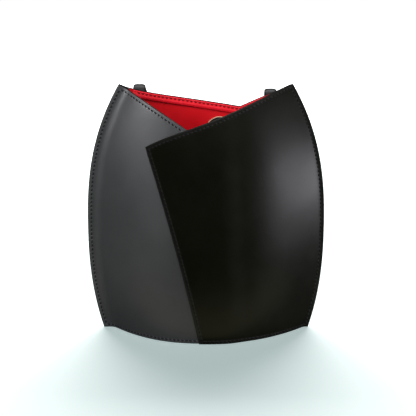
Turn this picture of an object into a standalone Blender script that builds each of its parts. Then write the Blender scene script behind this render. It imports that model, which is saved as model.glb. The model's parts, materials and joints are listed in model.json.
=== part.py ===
"""Leather shoulder bag with a wrapped front and a fold-down strap.

Frame: metres, +Z up, -Y is the front. The origin is on the ground, midway between the side seams,
in the plane of the two seams. Two stiff leather fronts overlap and meet a single back at cut-edge
side seams. The seams rise to two pointed tips, and the mouth dips in a V between them.
"""

import math

import bmesh
import bpy
from mathutils import Matrix, Vector

# ---- driving dimensions -------------------------------------------------------------------------
BAG_HEIGHT = 0.286          # ground to the two tips
WIDEST_HALF = 0.135         # half width at the widest level
WIDEST_LEVEL = 0.118        # height of the widest level
BASE_HALF = 0.1193          # half width at the ground
TIP_HALF = 0.0967           # half distance between the tips
LOWER_CURVE = 2.3           # exponent of the side outline below the widest level
UPPER_CURVE = 2.55          # exponent of the side outline above it

LEATHER = 0.0018            # outer leather thickness
LINING = 0.0010             # lining and facing thickness
GAP = 0.0004                # clearance between layers that touch

FRONT_DEPTH = 0.0537        # bulge of the front's common surface at the ground
BACK_DEPTH = 0.0340         # bulge of the back at the ground
FRONT_TAPER = 0.36          # share of the bulge lost at tip height
BACK_TAPER = 0.45
TAPER_CURVE = 2.5
# By side: flat seam margin, section exponent, and the depth over which the panel leaves the margin.
LEFT_MARGIN, LEFT_FULLNESS, LEFT_BEND = 0.012, 2.4, 0.0050
RIGHT_MARGIN, RIGHT_FULLNESS, RIGHT_BEND = 0.005, 2.2, 0.0025
BACK_MARGIN, BACK_FULLNESS, BACK_BEND = 0.006, 2.2, 0.0025

# Cut lines of the fronts, height as a polynomial of x, and the edges that run down the front.
LEFT_CUT = (0.2283, -0.7012, -1.1517)
RIGHT_CUT = (0.2497, 0.3634, 0.4599, 10.6073, -138.9901)
FREE_EDGE = (-0.0077, -0.2122, -0.2419)      # x of the right front's free edge, polynomial of height
HIDDEN_EDGE = (0.022, -0.045)                # x of the left front's covered edge, linear in height
OVERLAY_FADE = 0.027                         # width over which the right front steps back down

BACK_NOTCH_X, BACK_NOTCH_Z = 0.0385, 0.2577  # lowest point of the back's V
BACK_LEFT_RISE, BACK_LEFT_FLARE = 0.155, 0.0075
BACK_RIGHT_RISE = 0.486

FACING_WIDTH = 0.0078
FACING_GAP = 0.0006
LINING_START = 0.0035       # depth of bulge where the lining leaves the seam
FACING_START = 0.0052       # the same for the facing
LINING_BOTTOM = 0.0100
EDGE_DROP = 0.0006          # lining and facing stop this far below the leather's edge

BASE_LEFT, BASE_RIGHT = -0.102, 0.107        # ends of the base panel, short of the seams
FLANGE_HEIGHT = 0.008
BOARD_THICKNESS = 0.0015
BOARD_INSET = 0.0048        # board's edge, square to the leather's outer surface
BOARD_SHORTER = 0.0030

SNAP_X, SNAP_Z = 0.0163, 0.2290              # magnetic snap on both linings
PATCH_RADIUS = {"front": 0.0142, "back": 0.0170}
PATCH_THICKNESS = 0.0012
SNAP_RADIUS = 0.0090
WASHER_RADIUS, WASHER_THICKNESS = 0.0072, 0.0005
WASHER_HOLE_RADIUS = 0.0080

STRAP_WIDTH, STRAP_THICKNESS = 0.0140, 0.0020
FOLD_RADIUS = 0.0032
LEFT_ANCHOR_X, LEFT_FOLD_Z = -0.0747, 0.2792
RIGHT_ANCHOR_X, RIGHT_FOLD_Z = 0.0725, 0.2739
ANCHOR_LENGTH = 0.034
TWIST_HEIGHT = 0.010
LEG_OFFSET, LEG_SLOPE = 0.0038, 0.080        # right leg: stand-off below the fold and backward lean
LAP = 0.0024                                 # long strap lies this far outside the short one
SHORT_END_Z, LONG_TIP_Z = 0.132, 0.236
STUD_Z = 0.182
FIXED_KEEPER_Z, SLIDING_KEEPER_Z = 0.206, 0.150
KEEPER_HEIGHT, KEEPER_WALL, KEEPER_CLEARANCE = 0.009, 0.0014, 0.0004
HOLE_RADIUS, HOLE_PITCH, HOLE_COUNT = 0.0019, 0.015, 3
LEG_TUCK = 0.0022                            # right leg's centre line falls this far inside the fold
FOLD_CLEARANCE = 0.0004                      # strap starts this far below the end of the fold
TIP_LENGTH_SHARE, TIP_WIDTH_SHARE = 0.03, 0.35

# The long strap's free loop, from the left fold to the right leg: x, y, z, turn from +X in degrees.
LOOP_ROUTE = (
    (-0.0700, 0.0245, 0.2620, 0),
    (-0.0625, 0.0275, 0.2350, 4),
    (-0.0525, 0.0315, 0.1950, 14),
    (-0.0435, 0.0360, 0.1500, 34),
    (-0.0330, 0.0415, 0.1050, 58),
    (-0.0180, 0.0470, 0.0580, 78),
    (0.0010, 0.0500, 0.0260, 87),
    (0.0230, 0.0507, 0.0150, 90),
    (0.0450, 0.0500, 0.0270, 94),
    (0.0600, 0.0480, 0.0560, 110),
    (0.0675, 0.0445, 0.0800, 138),
    (0.0712, 0.0405, 0.1030, 168),
)
LAP_LEVELS = (0.126, 0.160, 0.200, LONG_TIP_Z)
SHORT_LEVELS = (0.245, 0.215, 0.185, 0.155, SHORT_END_Z)
SHORT_TOP_Z = 0.262

# Profiles of the turned metal pieces: radius, height above the seat.
WASHER_BORE = 0.0020
SOCKET_PROFILE = (
    (SNAP_RADIUS - 0.0003, 0.0026), (SNAP_RADIUS, 0.0022), (SNAP_RADIUS, 0.0), (0.0, 0.0),
    (0.0, 0.0005), (SNAP_RADIUS - 0.0007, 0.0005), (SNAP_RADIUS - 0.0007, 0.0026),
)
MAGNET_PROFILE = ((0.0078, 0.0026), (0.0078, 0.0008), (0.0028, 0.0008), (0.0028, 0.0026))
STUD_PLATE_PROFILE = (
    (0.0, 0.0030), (0.0019, 0.0030), (0.0024, 0.0024), (0.0024, 0.0009),
    (0.0084, 0.0009), (SNAP_RADIUS, 0.0004), (SNAP_RADIUS, 0.0), (0.0, 0.0),
)
NECK_RADIUS = 0.0015
HEAD_PROFILE = (                             # above the long strap's outer side
    (0.0, 0.0042), (0.0015, 0.0039), (0.0027, 0.0029), (0.0030, 0.0018), (0.0024, 0.0007),
    (NECK_RADIUS, 0.0002),
)
SCREW_RADIUS, SCREW_HEAD_RADIUS, SCREW_HEAD_HEIGHT = 0.0013, 0.0038, 0.0010
SCREW_CHAMFER = 0.0004

BLACK = (0.010, 0.010, 0.009)
RED = (0.48, 0.012, 0.022)
BOARD = (0.25, 0.20, 0.14)
NICKEL = (0.55, 0.55, 0.56)
FERRITE = (0.12, 0.12, 0.125)


# ---- outline and surfaces -----------------------------------------------------------------------
def half_width(z):
    """Half width of the bag's side outline at height z."""
    if z < WIDEST_LEVEL:
        share = (WIDEST_LEVEL - z) / WIDEST_LEVEL
        return WIDEST_HALF - (WIDEST_HALF - BASE_HALF) * share**LOWER_CURVE
    share = (z - WIDEST_LEVEL) / (BAG_HEIGHT - WIDEST_LEVEL)
    return WIDEST_HALF - (WIDEST_HALF - TIP_HALF) * share**UPPER_CURVE


def section(side, x):
    """Seam margin, section exponent and bend depth, at this side and x."""
    if side == "back":
        return BACK_MARGIN, BACK_FULLNESS, BACK_BEND
    if x < 0:
        return LEFT_MARGIN, LEFT_FULLNESS, LEFT_BEND
    return RIGHT_MARGIN, RIGHT_FULLNESS, RIGHT_BEND


def depth_at(side, z):
    """Full bulge of the front or the back at height z."""
    depth, taper = (BACK_DEPTH, BACK_TAPER) if side == "back" else (FRONT_DEPTH, FRONT_TAPER)
    return depth * (1 - taper * max(z / BAG_HEIGHT, 0) ** TAPER_CURVE)


def bulge(side, x, z):
    """Distance of a leather surface from the seam plane, before its own thickness."""
    margin, fullness, bend = section(side, x)
    rise = depth_at(side, z) * (1 - (abs(x) / (half_width(z) - margin)) ** fullness)
    if rise < -bend:
        return 0.0
    if rise < bend:
        return (rise + bend) ** 2 / (4 * bend)
    return rise


def bulge_limit(side, sign, z, start):
    """The x where the bulge reaches start, on the side of the given sign."""
    margin, fullness, _bend = section(side, sign)
    share = max(1 - start / depth_at(side, z), 0)
    return sign * (half_width(z) - margin) * share ** (1 / fullness)


def layer(side, x, z, inset=0.0):
    """Point of a layer, inset measured square to the leather's outer surface."""
    step = 0.0005
    slope_x = (bulge(side, x + step, z) - bulge(side, x - step, z)) / (2 * step)
    slope_z = (bulge(side, x, z + step) - bulge(side, x, z - step)) / (2 * step)
    depth = GAP / 2 + LEATHER + bulge(side, x, z) - inset * math.sqrt(1 + slope_x**2 + slope_z**2)
    return Vector((x, depth if side == "back" else -depth, z))


def normal(side, x, z):
    """Unit normal of the leather, pointing out of the bag."""
    step = 0.002
    along_x = layer(side, x + step, z) - layer(side, x - step, z)
    along_z = layer(side, x, z + step) - layer(side, x, z - step)
    out = along_x.cross(along_z).normalized()
    return -out if side == "back" else out


def smooth(value):
    value = min(max(value, 0.0), 1.0)
    return value * value * (3 - 2 * value)


def polynomial(line, value):
    return sum(factor * value**power for power, factor in enumerate(line))


def left_cut(x):
    return min(polynomial(LEFT_CUT, x), BAG_HEIGHT)


def right_cut(x):
    return min(polynomial(RIGHT_CUT, x), BAG_HEIGHT)


def front_rim(x):
    """Height of the front's mouth: the higher of the two cuts."""
    return max(left_cut(x), right_cut(x))


def back_rim(x):
    run = abs(x - BACK_NOTCH_X)
    if x > BACK_NOTCH_X:
        return min(BACK_NOTCH_Z + BACK_RIGHT_RISE * run, BAG_HEIGHT)
    flare = BACK_LEFT_FLARE * (run / (BACK_NOTCH_X + TIP_HALF)) ** 6
    return min(BACK_NOTCH_Z + BACK_LEFT_RISE * run + flare, BAG_HEIGHT)


def free_edge(z):
    return polynomial(FREE_EDGE, z)


def hidden_edge(z):
    return polynomial(HIDDEN_EDGE, z)


def overlay(x, z):
    """How far the right front stands off the common surface to clear the left one."""
    return (LEATHER + GAP) * (1 - smooth((x - hidden_edge(z) - GAP) / OVERLAY_FADE))


# ---- mesh and object helpers --------------------------------------------------------------------
def material(name, colour, roughness, metallic=0.0):
    made = bpy.data.materials.new(name)
    made.use_nodes = True
    shader = made.node_tree.nodes["Principled BSDF"]
    shader.inputs["Base Color"].default_value = (*colour, 1)
    shader.inputs["Roughness"].default_value = roughness
    shader.inputs["Metallic"].default_value = metallic
    return made


def place(name, mesh, look, parent=None):
    """Make the object, with its mesh given in the bag's frame."""
    made = bpy.data.objects.new(name, mesh)
    bpy.data.collections["shoulder_bag"].objects.link(made)
    mesh.materials.append(material(name, *look))
    if parent is not None:
        made.parent = parent
        made.matrix_parent_inverse = parent.matrix_world.inverted()
    return made


def grid_mesh(name, columns, rows, point):
    """Open surface over the unit square, each point given by point(column, row)."""
    mesh = bpy.data.meshes.new(name)
    work = bmesh.new()
    across, up = len(columns) - 1, len(rows) - 1
    bmesh.ops.create_grid(work, x_segments=across, y_segments=up, size=0.5)
    for vertex in work.verts:
        column = columns[round((vertex.co.x + 0.5) * across)]
        row = rows[round((vertex.co.y + 0.5) * up)]
        vertex.co = point(column, row)
    work.to_mesh(mesh)
    work.free()
    mesh.shade_smooth()
    mesh.set_sharp_from_angle(angle=math.radians(40))
    return mesh


def solidify(target, thickness, offset):
    skin = target.modifiers.new("thickness", "SOLIDIFY")
    skin.thickness = thickness
    skin.offset = offset
    skin.use_even_offset = True
    skin.use_quality_normals = True
    return skin


def steps(count, extra=()):
    """Even shares from 0 to 1, with extra ones where a surface bends sharply."""
    return sorted([i / count for i in range(count + 1)] + list(extra))


def mix(start, end, share):
    return start + (end - start) * share


def sheet(name, side, left, right, rim, bottom, inset, thickness, columns, rows, look):
    """Leather or lining between two side lines, from bottom up to its rim."""

    def point(column, row):
        z = BAG_HEIGHT * 0.9
        for _ in range(12):
            z = rim(mix(left(z), right(z), column))
        z = mix(bottom(z), z, row)
        return inset(mix(left(z), right(z), column), z)

    if side == "back":
        surface = grid_mesh(name, columns, rows, lambda column, row: point(1 - column, row))
    else:
        surface = grid_mesh(name, columns, rows, point)
    made = place(name, surface, look)
    solidify(made, thickness, -1)
    return made


def cut(target, cutter):
    hole = target.modifiers.new("hole", "BOOLEAN")
    hole.operation = "DIFFERENCE"
    hole.solver = "EXACT"
    hole.object = cutter


def drill(name, radius, depth, centre, direction):
    """Cylindrical cutter centred on a point."""
    mesh = bpy.data.meshes.new(name)
    work = bmesh.new()
    bmesh.ops.create_cone(
        work, cap_ends=True, segments=20, radius1=radius, radius2=radius, depth=depth
    )
    work.to_mesh(mesh)
    work.free()
    made = bpy.data.objects.new(name, mesh)
    made.location = centre
    made.rotation_mode = "QUATERNION"
    made.rotation_quaternion = direction.to_track_quat("Z", "Y")
    made.hide_render = True
    made.display_type = "WIRE"
    bpy.data.collections["cutters"].objects.link(made)
    return made


def turned(name, profile, centre, axis, look, segments=28, parent=None):
    """Round piece: a profile of (radius, height) from top to bottom on its outer side."""
    mesh = bpy.data.meshes.new(name)
    work = bmesh.new()
    points = [work.verts.new((radius, 0, height)) for radius, height in profile]
    for start, end in zip(points, points[1:]):
        work.edges.new((start, end))
    if profile[0][0] > 0 and profile[-1][0] > 0:
        work.edges.new((points[-1], points[0]))
    work.to_mesh(mesh)
    work.free()
    made = bpy.data.objects.new(name, mesh)
    bpy.data.collections["shoulder_bag"].objects.link(made)
    mesh.materials.append(material(name, *look))
    turn = axis.to_track_quat("Z", "Y").to_matrix().to_4x4()
    made.matrix_world = Matrix.Translation(centre) @ turn
    screw = made.modifiers.new("turn", "SCREW")
    screw.steps = segments
    screw.render_steps = segments
    screw.use_merge_vertices = True
    screw.merge_threshold = 0.00001
    screw.use_smooth_shade = True
    if parent is not None:
        made.parent = parent
        made.matrix_parent_inverse = parent.matrix_world.inverted()
    return made


def ribbon(name, stations, look, parent=None):
    """Flat strap through stations of (centre, direction across, width share)."""
    last = len(stations) - 1

    def point(column, row):
        centre, across, share = stations[round(row * last)]
        return centre + across.normalized() * (column - 0.5) * STRAP_WIDTH * share

    surface = grid_mesh(name, (0, 1), steps(last), point)
    made = place(name, surface, look, parent)
    solidify(made, STRAP_THICKNESS, 0)
    return made


# ---- leather shell ------------------------------------------------------------------------------
def ground(_z):
    return 0.0


def make_fronts():
    sheet(
        "front_left_panel", "front", lambda z: -half_width(z), hidden_edge, left_cut, ground,
        lambda x, z: layer("front", x, z), LEATHER,
        steps(18, (0.045, 0.07, 0.085, 0.1, 0.12, 0.14)), steps(12), (BLACK, 0.5),
    )
    sheet(
        "front_right_panel", "front", free_edge, half_width, right_cut, ground,
        lambda x, z: layer("front", x, z, -overlay(x, z)), LEATHER,
        steps(18, (0.955, 0.97, 0.985)), steps(12), (BLACK, 0.42),
    )


def make_back():
    sheet(
        "back_panel", "back", lambda z: -half_width(z), half_width, back_rim, ground,
        lambda x, z: layer("back", x, z), LEATHER,
        steps(26, (0.01, 0.025, 0.05, 0.95, 0.975, 0.99)), steps(12), (BLACK, 0.45),
    )


def lining_sheet(name, side, rim, start, level, height=None):
    """Red layer inside the leather: level counts the layers from the leather inward."""
    inset = LEATHER + GAP + level * (LINING + FACING_GAP)

    def bottom(top):
        return LINING_BOTTOM if height is None else top - height

    return sheet(
        name, side,
        lambda z: bulge_limit(side, -1, z, start), lambda z: bulge_limit(side, 1, z, start),
        lambda x: rim(x) - EDGE_DROP, bottom,
        lambda x, z: layer(side, x, z, inset), LINING,
        steps(28), steps(12) if height is None else steps(1), (RED, 0.6),
    )


def make_linings():
    for side, rim in (("front", front_rim), ("back", back_rim)):
        lining = lining_sheet(f"{side}_lining", side, rim, LINING_START, 0)
        lining_sheet(f"{side}_facing", side, rim, FACING_START, 1, FACING_WIDTH)
        centre = layer(side, SNAP_X, SNAP_Z, LEATHER + GAP + LINING / 2)
        axis = normal(side, SNAP_X, SNAP_Z)
        cut(lining, drill(f"{side}_washer_hole", WASHER_HOLE_RADIUS, 0.004, centre, axis))


# ---- base ---------------------------------------------------------------------------------------
def base_edge(side, x, inset):
    return layer(side, x, 0, inset).y


def make_base_panel():
    """Plate with a flange turned down along the front and the back, standing on its cut edges."""
    plate_rows = 5
    levels = [(0, 0)] + [(i / plate_rows, FLANGE_HEIGHT) for i in range(plate_rows + 1)] + [(1, 0)]

    def point(column, row):
        share, height = levels[round(row * (len(levels) - 1))]
        x = mix(BASE_LEFT, BASE_RIGHT, column)
        y = mix(base_edge("front", x, LEATHER + GAP), base_edge("back", x, LEATHER + GAP), share)
        return Vector((x, y, height))

    surface = grid_mesh("base_panel", steps(20), steps(len(levels) - 1), point)
    solidify(place("base_panel", surface, (BLACK, 0.5)), LEATHER, -1)


def make_base_plate(name, thickness, bottom, look):
    """Flat lens inside the bag: an outline curve filled on both sides and extruded."""
    left, right = BASE_LEFT + BOARD_SHORTER, BASE_RIGHT - BOARD_SHORTER
    xs = [mix(left, right, share) for share in steps(24)]
    outline = [(x, base_edge("front", x, BOARD_INSET)) for x in xs]
    outline += [(x, base_edge("back", x, BOARD_INSET)) for x in reversed(xs)]
    curve = bpy.data.curves.new(name, "CURVE")
    curve.dimensions = "2D"
    curve.fill_mode = "BOTH"
    curve.extrude = thickness / 2
    spline = curve.splines.new("POLY")
    spline.points.add(len(outline) - 1)
    for target, (x, y) in zip(spline.points, outline):
        target.co = (x, y, 0, 1)
    spline.use_cyclic_u = True
    curve.materials.append(material(name, *look))
    made = bpy.data.objects.new(name, curve)
    made.location.z = bottom + thickness / 2
    bpy.data.collections["shoulder_bag"].objects.link(made)


def make_base():
    make_base_panel()
    board_bottom = FLANGE_HEIGHT + GAP
    lining_bottom = board_bottom + BOARD_THICKNESS + GAP
    make_base_plate("base_board", BOARD_THICKNESS, board_bottom, (BOARD, 0.8))
    make_base_plate("base_lining", LINING, lining_bottom, (RED, 0.6))


# ---- magnetic snap ------------------------------------------------------------------------------
def make_patch(side):
    """Leather disc that follows the lining, with the metal snap on it."""
    name = f"{side}_snap_patch"
    inset = LEATHER + LINING + 2 * GAP + PATCH_THICKNESS / 2
    mesh = bpy.data.meshes.new(name)
    work = bmesh.new()
    bmesh.ops.create_circle(work, cap_ends=True, cap_tris=True, segments=28, radius=PATCH_RADIUS[side])
    spokes = [edge for edge in work.edges if edge.is_manifold]
    bmesh.ops.subdivide_edges(work, edges=spokes, cuts=2)
    for vertex in work.verts:
        vertex.co = layer(side, SNAP_X + vertex.co.x, SNAP_Z + vertex.co.y, inset)
    work.to_mesh(mesh)
    work.free()
    solidify(place(name, mesh, (BLACK, 0.5)), PATCH_THICKNESS, 0)


def make_snap():
    steel = (NICKEL, 0.3, 1.0)
    for side in ("front", "back"):
        make_patch(side)
        inward = -normal(side, SNAP_X, SNAP_Z)
        seat = layer(side, SNAP_X, SNAP_Z, LEATHER + LINING + PATCH_THICKNESS + 3 * GAP)
        washer_seat = layer(side, SNAP_X, SNAP_Z, LEATHER + GAP + LINING / 2)
        half = WASHER_THICKNESS / 2
        outer, bore = WASHER_RADIUS, WASHER_BORE
        ring = [(outer, half), (outer, -half), (bore, -half), (bore, half)]
        turned(f"{side}_snap_washer", ring, washer_seat, inward, steel)
        if side == "back":
            turned("snap_socket_case", SOCKET_PROFILE, seat, inward, steel)
            turned("snap_magnet", MAGNET_PROFILE, seat, inward, (FERRITE, 0.45, 0.8))
        else:
            turned("snap_stud_plate", STUD_PLATE_PROFILE, seat, inward, steel)


# ---- strap --------------------------------------------------------------------------------------
def anchor_stations(x, fold_z):
    """The end sewn to the back, up over the rim and through the fold."""
    stations = []
    for i in range(9):
        z = fold_z - ANCHOR_LENGTH * (1 - i / 8)
        slope = (layer("back", x + 0.003, z).y - layer("back", x - 0.003, z).y) / 0.006
        turn = 1 - smooth((z - fold_z + TWIST_HEIGHT) / TWIST_HEIGHT)
        lift = STRAP_WIDTH / 2 * abs(slope) * (1 - turn)
        y = layer("back", x, z, -GAP).y + STRAP_THICKNESS / 2 + lift
        stations.append((Vector((x, y, z)), Vector((1, slope * turn, 0)), 1.0))
    return stations


def fold_centre(x, fold_z):
    return anchor_stations(x, fold_z)[-1][0] + Vector((0, FOLD_RADIUS, 0))


def fold_stations(x, fold_z):
    centre = fold_centre(x, fold_z)
    turns = [math.pi * i / 10 for i in range(1, 10)] + [math.pi * 0.97]
    return [
        (centre + FOLD_RADIUS * Vector((0, -math.cos(a), math.sin(a))), Vector((1, 0, 0)), 1.0)
        for a in turns
    ]


def right_leg(z, outside=0.0):
    """Centre of the short strap on its straight stretch, or of a layer outside it."""
    centre = fold_centre(RIGHT_ANCHOR_X, RIGHT_FOLD_Z)
    lean = LEG_OFFSET + LEG_SLOPE * (RIGHT_FOLD_Z - z)
    return Vector((RIGHT_ANCHOR_X, centre.y + FOLD_RADIUS - LEG_TUCK + lean + outside, z))


def spline_points(route, count):
    """Catmull-Rom curve through route points of (x, y, z, turn), as evenly counted points."""
    spans = len(route) - 1
    out = []
    for i in range(count + 1):
        place_on = i / count * spans
        span = min(int(place_on), spans - 1)
        t = place_on - span
        before, start = route[max(span - 1, 0)], route[span]
        end, after = route[span + 1], route[min(span + 2, spans)]
        point = []
        for a, b, c, d in zip(before, start, end, after):
            point.append(0.5 * (2 * b + (c - a) * t + (2 * a - 5 * b + 4 * c - d) * t * t
                                + (3 * b - a - 3 * c + d) * t**3))
        out.append(point)
    return out


def fold_end(x, fold_z):
    """Where a strap starts, just below the rear end of its fold."""
    return fold_centre(x, fold_z) + Vector((0, FOLD_RADIUS, -FOLD_CLEARANCE))


def long_route():
    """The long strap from its fold, round the free loop and up the right leg."""
    lap = [(*right_leg(z, LAP), 180) for z in LAP_LEVELS]
    return [(*fold_end(LEFT_ANCHOR_X, LEFT_FOLD_Z), 0), *LOOP_ROUTE, *lap]


def short_route():
    """The short strap from its fold straight down the right leg."""
    top = right_leg(SHORT_TOP_Z) - Vector((0, GAP, 0))
    straight = [(*right_leg(z), 0) for z in SHORT_LEVELS]
    return [(*fold_end(RIGHT_ANCHOR_X, RIGHT_FOLD_Z), 0), (*top, 0), *straight]


def tip_share(share):
    """Width share of the long strap at this share of its length: one, then less to the rounded tip."""
    left = (1 - share) / TIP_LENGTH_SHARE
    return 1.0 if left > 1 else mix(TIP_WIDTH_SHARE, 1, math.sqrt(max(left, 0)))


def strap_stations(route, count, width_share):
    """Stations of (centre, direction across, width share) along a route."""
    stations = []
    for i, (x, y, z, turn) in enumerate(spline_points(route, count)):
        across = Vector((math.cos(math.radians(turn)), math.sin(math.radians(turn)), 0))
        stations.append((Vector((x, y, z)), across, width_share(i / count)))
    return stations


def make_anchors():
    anchors = (("left", LEFT_ANCHOR_X, LEFT_FOLD_Z), ("right", RIGHT_ANCHOR_X, RIGHT_FOLD_Z))
    for name, x, fold_z in anchors:
        stations = anchor_stations(x, fold_z) + fold_stations(x, fold_z)
        ribbon(f"strap_end_{name}", stations, (BLACK, 0.45))


def make_keeper(name, z, parent):
    """Leather loop round both straps: an outline with its opening, extruded along the strap."""
    along = Vector((0, -LEG_SLOPE, 1)).normalized()
    clear = KEEPER_CLEARANCE
    inner = (STRAP_WIDTH / 2 + clear, (STRAP_THICKNESS + LAP) / 2 + clear)
    outer = (inner[0] + KEEPER_WALL, inner[1] + KEEPER_WALL)
    curve = bpy.data.curves.new(name, "CURVE")
    curve.dimensions = "2D"
    curve.fill_mode = "BOTH"
    curve.extrude = KEEPER_HEIGHT / 2
    for half_x, half_y, corner in ((*outer, 0.0016), (*inner, 0.0005)):
        spline = curve.splines.new("POLY")
        corners = rounded_rectangle(half_x, half_y, corner)
        spline.points.add(len(corners) - 1)
        for target, (x, y) in zip(spline.points, corners):
            target.co = (x, y, 0, 1)
        spline.use_cyclic_u = True
    curve.materials.append(material(name, BLACK, 0.45))
    made = bpy.data.objects.new(name, curve)
    across = Vector((1, 0, 0))
    axes = Matrix((across, along.cross(across), along)).transposed().to_4x4()
    made.matrix_world = Matrix.Translation(right_leg(z, LAP / 2)) @ axes
    bpy.data.collections["shoulder_bag"].objects.link(made)
    made.parent = parent
    made.matrix_parent_inverse = parent.matrix_world.inverted()


def rounded_rectangle(half_x, half_y, corner):
    points = []
    for quarter in range(4):
        sign_x, sign_y = ((1, 1), (-1, 1), (-1, -1), (1, -1))[quarter]
        for i in range(4):
            angle = math.pi / 2 * (quarter + i / 3)
            points.append((
                sign_x * (half_x - corner) + corner * math.cos(angle),
                sign_y * (half_y - corner) + corner * math.sin(angle),
            ))
    return points


def make_strap():
    left = fold_centre(LEFT_ANCHOR_X, LEFT_FOLD_Z)
    right = fold_centre(RIGHT_ANCHOR_X, RIGHT_FOLD_Z)
    hinge = bpy.data.objects.new("strap_hinge", None)
    hinge.location = (left + right) / 2
    hinge.rotation_mode = "QUATERNION"
    hinge.rotation_quaternion = (right - left).to_track_quat("X", "Z")
    bpy.data.collections["shoulder_bag"].objects.link(hinge)
    bpy.context.view_layer.update()

    stations = strap_stations(short_route(), 18, lambda share: 1.0)
    short = ribbon("strap_short", stations, (BLACK, 0.45), hinge)
    stations = strap_stations(long_route(), 76, tip_share)
    long = ribbon("strap_long", stations, (BLACK, 0.45), hinge)

    out = Vector((0, 1, LEG_SLOPE)).normalized()
    cut(short, drill("short_hole", HOLE_RADIUS, 0.006, right_leg(STUD_Z), out))
    for i in range(HOLE_COUNT):
        centre = right_leg(STUD_Z + (i - 1) * HOLE_PITCH, LAP)
        cut(long, drill(f"long_hole_{i + 1}", HOLE_RADIUS, 0.004, centre, out))

    make_stud(hinge, right_leg(STUD_Z), out)
    make_keeper("keeper_fixed", FIXED_KEEPER_Z, hinge)
    make_keeper("keeper_sliding", SLIDING_KEEPER_Z, hinge)


def make_stud(hinge, seat, out):
    """Round-headed stud through both straps, and the screw that holds it from behind."""
    steel = (NICKEL, 0.28, 1.0)
    half = STRAP_THICKNESS / 2
    neck, top = half + GAP, half + STRAP_THICKNESS + 3 * GAP
    head = [(radius, top + height) for radius, height in HEAD_PROFILE]
    turned("stud_head", [*head, (NECK_RADIUS, neck), (0.0, neck)], seat, out, steel, 20, hinge)
    under, bottom = -half - GAP, -half - GAP - SCREW_HEAD_HEIGHT
    rim = SCREW_HEAD_RADIUS
    screw = [
        (0.0, half), (SCREW_RADIUS, half), (SCREW_RADIUS, under), (rim, under),
        (rim, bottom + SCREW_CHAMFER), (rim - SCREW_CHAMFER, bottom), (0.0, bottom),
    ]
    turned("stud_screw", screw, seat, out, steel, 20, hinge)


# ---- build --------------------------------------------------------------------------------------
def main():
    for old in list(bpy.data.objects):
        bpy.data.objects.remove(old, do_unlink=True)
    for name in ("shoulder_bag", "cutters"):
        bpy.context.scene.collection.children.link(bpy.data.collections.new(name))
    make_fronts()
    make_back()
    make_linings()
    make_base()
    make_snap()
    make_anchors()
    make_strap()


main()
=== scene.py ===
"""Leather shoulder bag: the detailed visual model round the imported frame, with camera and light."""

import json
import math

import bmesh
import bpy
import numpy as np
from mathutils import Matrix, Vector, kdtree, noise

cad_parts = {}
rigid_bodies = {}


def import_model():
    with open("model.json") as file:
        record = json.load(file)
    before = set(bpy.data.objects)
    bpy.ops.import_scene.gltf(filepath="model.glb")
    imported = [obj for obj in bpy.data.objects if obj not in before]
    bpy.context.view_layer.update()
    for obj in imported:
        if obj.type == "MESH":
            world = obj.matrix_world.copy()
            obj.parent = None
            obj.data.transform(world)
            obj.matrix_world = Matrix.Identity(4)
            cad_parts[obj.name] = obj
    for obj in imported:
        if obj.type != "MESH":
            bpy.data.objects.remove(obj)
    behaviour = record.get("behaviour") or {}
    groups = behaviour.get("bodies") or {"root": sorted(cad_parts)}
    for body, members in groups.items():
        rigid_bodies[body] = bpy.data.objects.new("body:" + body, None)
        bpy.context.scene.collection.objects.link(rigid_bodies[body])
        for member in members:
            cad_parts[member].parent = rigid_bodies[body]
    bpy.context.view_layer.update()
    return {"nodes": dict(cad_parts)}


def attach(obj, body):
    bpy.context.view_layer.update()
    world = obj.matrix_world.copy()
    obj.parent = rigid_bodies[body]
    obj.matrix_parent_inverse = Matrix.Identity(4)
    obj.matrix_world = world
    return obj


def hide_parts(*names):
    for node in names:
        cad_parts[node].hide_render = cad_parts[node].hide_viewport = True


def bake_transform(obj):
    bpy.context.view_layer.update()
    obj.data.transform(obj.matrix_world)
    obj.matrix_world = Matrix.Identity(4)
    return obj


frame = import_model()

# ---- dimensions shared with the CAD model, in metres ----
BAG_HEIGHT, WIDEST_HALF, WIDEST_LEVEL = 0.286, 0.135, 0.118
BASE_HALF, TIP_HALF = 0.1193, 0.0967
LOWER_CURVE, UPPER_CURVE = 2.3, 2.55
LEATHER, LINING, GAP = 0.0018, 0.0010, 0.0004
DEPTH = {"front": 0.0537, "back": 0.0340}
TAPER = {"front": 0.36, "back": 0.45}
TAPER_CURVE = 2.5
SECTIONS = {  # (margin, fullness, bend) left and right of x = 0
    "front": ((0.012, 2.4, 0.0050), (0.005, 2.2, 0.0025)),
    "back": ((0.006, 2.2, 0.0025), (0.006, 2.2, 0.0025)),
}
LEFT_CUT = (0.2283, -0.7012, -1.1517)
RIGHT_CUT = (0.2497, 0.3634, 0.4599, 10.6073, -138.9901)
FREE_EDGE = (-0.0077, -0.2122, -0.2419)
HIDDEN_EDGE = (0.022, -0.045)
OVERLAY_FADE = 0.027
BACK_NOTCH_X, BACK_NOTCH_Z = 0.0385, 0.2577
BACK_LEFT_RISE, BACK_LEFT_FLARE, BACK_RIGHT_RISE = 0.155, 0.0075, 0.486
FACING_WIDTH, FACING_GAP = 0.0078, 0.0006
LINING_START, FACING_START, LINING_BOTTOM, EDGE_DROP = 0.0035, 0.0052, 0.0100, 0.0006
BASE_LEFT, BASE_RIGHT, FLANGE_HEIGHT = -0.102, 0.107, 0.008
BOARD_THICKNESS, BOARD_INSET, BOARD_SHORTER = 0.0015, 0.0048, 0.0030
SNAP_X, SNAP_Z, PATCH_THICKNESS = 0.0163, 0.2290, 0.0012
PATCH_RADIUS = {"front": 0.0142, "back": 0.0170}
STRAP_WIDTH, STRAP_THICKNESS, FOLD_RADIUS = 0.0140, 0.0020, 0.0032
LEFT_ANCHOR_X, LEFT_FOLD_Z = -0.0747, 0.2792
RIGHT_ANCHOR_X, RIGHT_FOLD_Z = 0.0725, 0.2739
ANCHOR_LENGTH, TWIST_HEIGHT = 0.034, 0.010
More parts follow.
